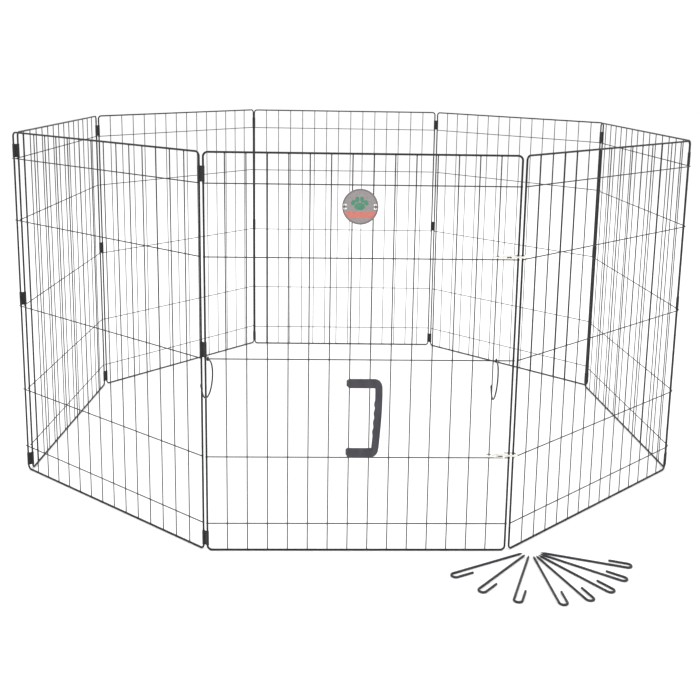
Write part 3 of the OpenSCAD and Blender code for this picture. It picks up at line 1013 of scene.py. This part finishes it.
@dataclass
class CarryHandle:
    """Moulded D handle that clips onto an upright and swings on it."""

    pivot: tuple[float, float] = (-19.867 * MM, -0.9 * MM)
    base: float = 204.15 * MM
    height: float = 159.5 * MM
    leg: float = 18 * MM
    middle_y: float = -9.95 * MM
    depth: float = 11 * MM
    grip_x: tuple[float, float] = (36.6 * MM, 30.6 * MM)
    grip: float = 14.4 * MM
    bow: float = 2.4 * MM
    leg_ends: tuple[float, float] = (-23.5 * MM, -24.5 * MM)
    rounding: float = 5 * MM
    cap: float = 2.2 * MM
    squareness: float = 3.4
    waves: int = 4
    wave: float = 1.5 * MM
    wave_gap: float = 19 * MM
    socket_r: tuple[float, float] = (1.19 * MM, 5.9 * MM)
    clip: float = 12 * MM
    clip_arc: tuple[float, float] = (103.0, 334.0)
    clip_drop: float = 2.5 * MM

    def centreline(self) -> np.ndarray:
        """Middle of the leg, grip and leg, seen from the front.

        A line through four corners with the grip bowed out by bow sin(pi u^0.8), walked at
        even steps and smoothed by a Gaussian of the rounding's width.

        Returns:
            One row of x and z per point.
        """
        low, high = self.base + self.leg / 2, self.base + self.height - self.leg / 2
        u = np.linspace(0, 1, 60)
        grip = np.stack([self.grip_x[0] + (self.grip_x[1] - self.grip_x[0]) * u
                         + self.bow * np.sin(np.pi * u ** 0.8), high + (low - high) * u], -1)
        line = np.vstack([[self.leg_ends[0], high], grip, [self.leg_ends[1], low]])
        far = np.concatenate([[0], np.cumsum(np.linalg.norm(np.diff(line, axis=0), axis=1))])
        walk = np.linspace(0, far[-1], 240)
        even = np.stack([np.interp(walk, far, line[:, k]) for k in (0, 1)], -1)
        step = walk[1]
        reach = int(4 * self.rounding / step)
        weight = np.exp(-0.5 * ((np.arange(-reach, reach + 1) * step) / self.rounding) ** 2)
        weight /= weight.sum()
        ends = [np.outer(np.arange(reach, 0, -1), even[0] - even[1]) + even[0],
                np.outer(np.arange(1, reach + 1), even[-1] - even[-2]) + even[-1]]
        long = np.vstack([ends[0], even, ends[1]])
        return np.stack([np.convolve(long[:, k], weight, "valid") for k in (0, 1)], -1)

    def bar(self) -> Shell:
        """Legs and grip: a rounded section carried along the centreline.

        The half width in the plane goes from the leg's to the grip's. On the side of the
        fingers the grip swells by wave sin^2(pi z / wave_gap). Both ends shrink by
        sqrt(1 - (1 - d / cap)^2) at a distance d from the end.

        Returns:
            The closed shell.
        """
        line = self.centreline()
        count = len(line)
        path = np.stack([line[:, 0], np.full(count, self.middle_y), line[:, 1]], -1)
        ahead = np.gradient(path, axis=0)
        ahead /= np.linalg.norm(ahead, axis=1, keepdims=True)
        deep = np.tile([0.0, 1.0, 0.0], (count, 1))
        inward = np.cross(ahead, deep)
        upright = np.clip(np.abs(ahead[:, 2]) * 1.25 - 0.12, 0, 1)
        half = self.leg / 2 * (1 - upright) + self.grip / 2 * upright
        far = np.concatenate([[0], np.cumsum(np.linalg.norm(np.diff(path, axis=0), axis=1))])
        near = np.minimum(far, far[-1] - far)
        cap = np.sqrt(np.clip(1 - (1 - np.minimum(near / self.cap, 1)) ** 2, 0.004, 1))
        turn = np.linspace(0, 2 * np.pi, 40, endpoint=False)
        across, along = (np.sign(v) * np.abs(v) ** (2 / self.squareness)
                         for v in (np.cos(turn), np.sin(turn)))
        middle = self.base + self.height / 2
        span = self.wave_gap * self.waves
        phase = (line[:, 1] - middle + span / 2) / self.wave_gap
        inside = (np.abs(line[:, 1] - middle) < span / 2) * (upright > 0.8)
        wave = self.wave * np.sin(np.pi * phase) ** 2 * inside
        a = half[:, None] * across - wave[:, None] * np.clip(-across, 0, 1)
        rings = (path[:, None] + (cap[:, None] * a)[..., None] * inward[:, None]
                 + (cap[:, None] * self.depth / 2 * along)[..., None] * deep[:, None])
        return skin(rings)

    def socket(self, middle_z: float) -> Shell:
        """Split clip round the upright: a block carried along an arc that stays open behind.

        Args:
            middle_z: Height of the clip's middle.

        Returns:
            The closed shell.
        """
        inner, outer = self.socket_r
        flat = arc(self.pivot, (inner + outer) / 2, *self.clip_arc, 44)
        path = np.column_stack([flat, np.full(len(flat), middle_z)])
        out = path - np.array([*self.pivot, middle_z])
        out /= np.linalg.norm(out, axis=1, keepdims=True)
        up = np.tile([0.0, 0.0, 1.0], (len(path), 1))
        return loft(path, out, up, np.full(len(path), (outer - inner) / 2),
                    np.full(len(path), self.clip / 2), power=7.0, around=32)

    def build(self) -> None:
        """Make the handle of its bar and two clips."""
        low = self.base + self.leg / 2 - self.clip_drop
        ends = (low, low + self.height - self.leg)
        piece("moulded_carry_handle", [self.bar(), *(self.socket(z) for z in ends)], NYLON,
              "handle", ["carry_handle"])


@dataclass
class TinBadge:
    """Round printed badge, tied to two uprights."""

    def dress(self) -> None:
        """Print the badge and coat its ties."""
        dress("badge_disc", TIN)
        dress("badge_ties", TIE_COAT)


@dataclass
class GroundStakes:
    """J-shaped wire stakes, laid out in two fans on the floor."""

    middle: tuple[float, float] = (350 * MM, -5 * MM)
    reach: float = 20 * MM
    angles: tuple[float, ...] = (-153.0, -132.0, -111.0, -86.0, -69.5, -53.0, -36.5, -20.0)
    length: float = 178 * MM
    wire_r: float = 2.25 * MM
    hook_w: float = 20 * MM
    short_leg: float = 47 * MM
    point: tuple[float, float] = (8 * MM, 0.2)

    def shell(self) -> Shell:
        """One stake in its own axes: a pointed shank along x, a half circle, a short leg.

        Returns:
            The closed shell.
        """
        bend_r = self.hook_w / 2 - self.wire_r
        turn_x = self.length - self.wire_r - bend_r
        nose = np.array([0.4, 1.5, 3.0, 5.0, 8.0, 10.0]) * MM
        shank = np.concatenate([nose, np.linspace(20 * MM, turn_x, 12)])
        line = np.stack([shank, np.zeros(len(shank))], -1)
        bend = arc((turn_x, bend_r), bend_r, -90, 180, 22)[1:]
        back = np.linspace(turn_x, self.length - self.short_leg + 0.9 * self.wire_r, 6)[1:]
        leg = np.stack([back, np.full(len(back), 2 * bend_r)], -1)
        return wire(np.vstack([line, bend, leg]), self.wire_r, *self.point)

    def build(self) -> None:
        """Lay the stakes out in their two fans."""
        shell = self.shell()
        for number, angle in enumerate(self.angles, start=1):
            matrix = turned(angle)
            at = matrix @ np.array([self.reach, 0, 0]) + np.array([*self.middle, self.wire_r])
            piece(f"pointed_stake_{number}", [shell.moved(matrix, at)], STAKE_COAT,
                  f"stake_{number}", [f"stake_{number}"])


# --------------------------------------------------------------------------- studio


@dataclass
class Studio:
    """Paper floor, soft boxes and the camera."""

    eye: tuple[float, float, float] = (-75.9 * MM, -1787.9 * MM, 974.8 * MM)
    pitch: float = 10.49
    yaw: float = -1.754
    roll: float = 0.915
    lens: float = 49.59
    shift: tuple[float, float] = (-0.00167, -0.1637)
    reaches: tuple[float, ...] = (0.4, 1.0, 2.5, 6.0, 14.0, 30.0)
    around: int = 48
    drop: float = 0.05 * MM
    aim: tuple[float, float, float] = (0.0, 0.6, 0.4)
    air: tuple[str, float] = ("#fdfdfd", 1.08)

    def floor(self) -> None:
        """Wide round sheet of paper: rings at (r cos t, r sin t, -drop), r growing outwards."""
        turn = np.linspace(0, 2 * np.pi, self.around, endpoint=False)
        reach = np.array(self.reaches)[:, None]
        size = (len(reach), self.around)
        rings = np.stack([reach * np.cos(turn), reach * np.sin(turn), np.full(size, -self.drop)],
                         -1)
        mesh = bpy.data.meshes.new("studio_floor")
        index = np.arange(rings.size // 3).reshape(size)
        quads = np.stack([index[:-1], index[1:], np.roll(index[1:], -1, 1),
                          np.roll(index[:-1], -1, 1)], -1).reshape(-1, 4)
        mesh.from_pydata(rings.reshape(-1, 3).tolist(), [], quads.tolist() + [index[0].tolist()])
        mesh.materials.append(PAPER.material())
        made = bpy.data.objects.new("studio_floor", mesh)
        bpy.context.scene.collection.objects.link(made)

    def softbox(self, name: str, at: tuple[float, float, float], size: float,
                power: float) -> None:
        """Hang a square light that looks at the pen.

        Args:
            name: Its name.
            at: Its place.
            size: Length of its side.
            power: Its power in watts.
        """
        lamp = bpy.data.lights.new(name, "AREA")
        lamp.shape, lamp.size, lamp.energy = "SQUARE", size, power
        made = bpy.data.objects.new(name, lamp)
        made.location = at
        aim = Vector(self.aim) - Vector(at)
        made.rotation_euler = aim.to_track_quat("-Z", "Y").to_euler()
        bpy.context.scene.collection.objects.link(made)

    def camera(self) -> None:
        """Stand the camera: its axes come from the yaw, the pitch and then the roll."""
        lens = bpy.data.cameras.new("studio_camera")
        lens.sensor_width, lens.lens = 36.0, self.lens
        lens.shift_x, lens.shift_y = self.shift
        lens.clip_start, lens.clip_end = 0.02, 100.0
        made = bpy.data.objects.new("studio_camera", lens)
        turn = (Matrix.Rotation(math.radians(self.yaw), 3, "Z")
                @ Matrix.Rotation(math.radians(90 - self.pitch), 3, "X")
                @ Matrix.Rotation(math.radians(self.roll), 3, "Z"))
        made.matrix_world = Matrix.Translation(self.eye) @ turn.to_4x4()
        bpy.context.scene.collection.objects.link(made)
        bpy.context.scene.camera = made

    def build(self) -> None:
        """Make the floor, the light and the camera."""
        self.floor()
        world = bpy.data.worlds.new("studio_air")
        world.use_nodes = True
        air = world.node_tree.nodes["Background"]
        air.inputs["Color"].default_value = linear(self.air[0])
        air.inputs["Strength"].default_value = self.air[1]
        bpy.context.scene.world = world
        bpy.context.scene.view_settings.view_transform = "Standard"
        self.softbox("key_box", (-2.6, -2.4, 3.4), 2.2, 70.0)
        self.softbox("fill_box", (3.2, -1.6, 2.6), 2.6, 40.0)
        self.softbox("back_box", (0.4, 4.2, 3.0), 2.4, 40.0)
        self.camera()


def corners(box: tuple[Vector, Vector]) -> list[list[float]]:
    """Write a box as plain lists.

    Args:
        box: Its lowest and highest corner.

    Returns:
        Both corners, each as x, y and z.
    """
    return [list(map(float, corner)) for corner in box]


def main() -> None:
    """Build and dress every sub-assembly, then the studio."""
    logging.basicConfig(level=logging.INFO, format="%(name)s %(message)s")
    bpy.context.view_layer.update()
    Studio().build()
    ring = Ring()
    panels = WirePanels(ring)
    panels.build()
    panels.dress()
    HingeSleeves(ring).build()
    BoltSnaps().dress()
    StackRings().build()
    CarryHandle().build()
    TinBadge().dress()
    GroundStakes().build()


if __name__ == "__main__":
    main()
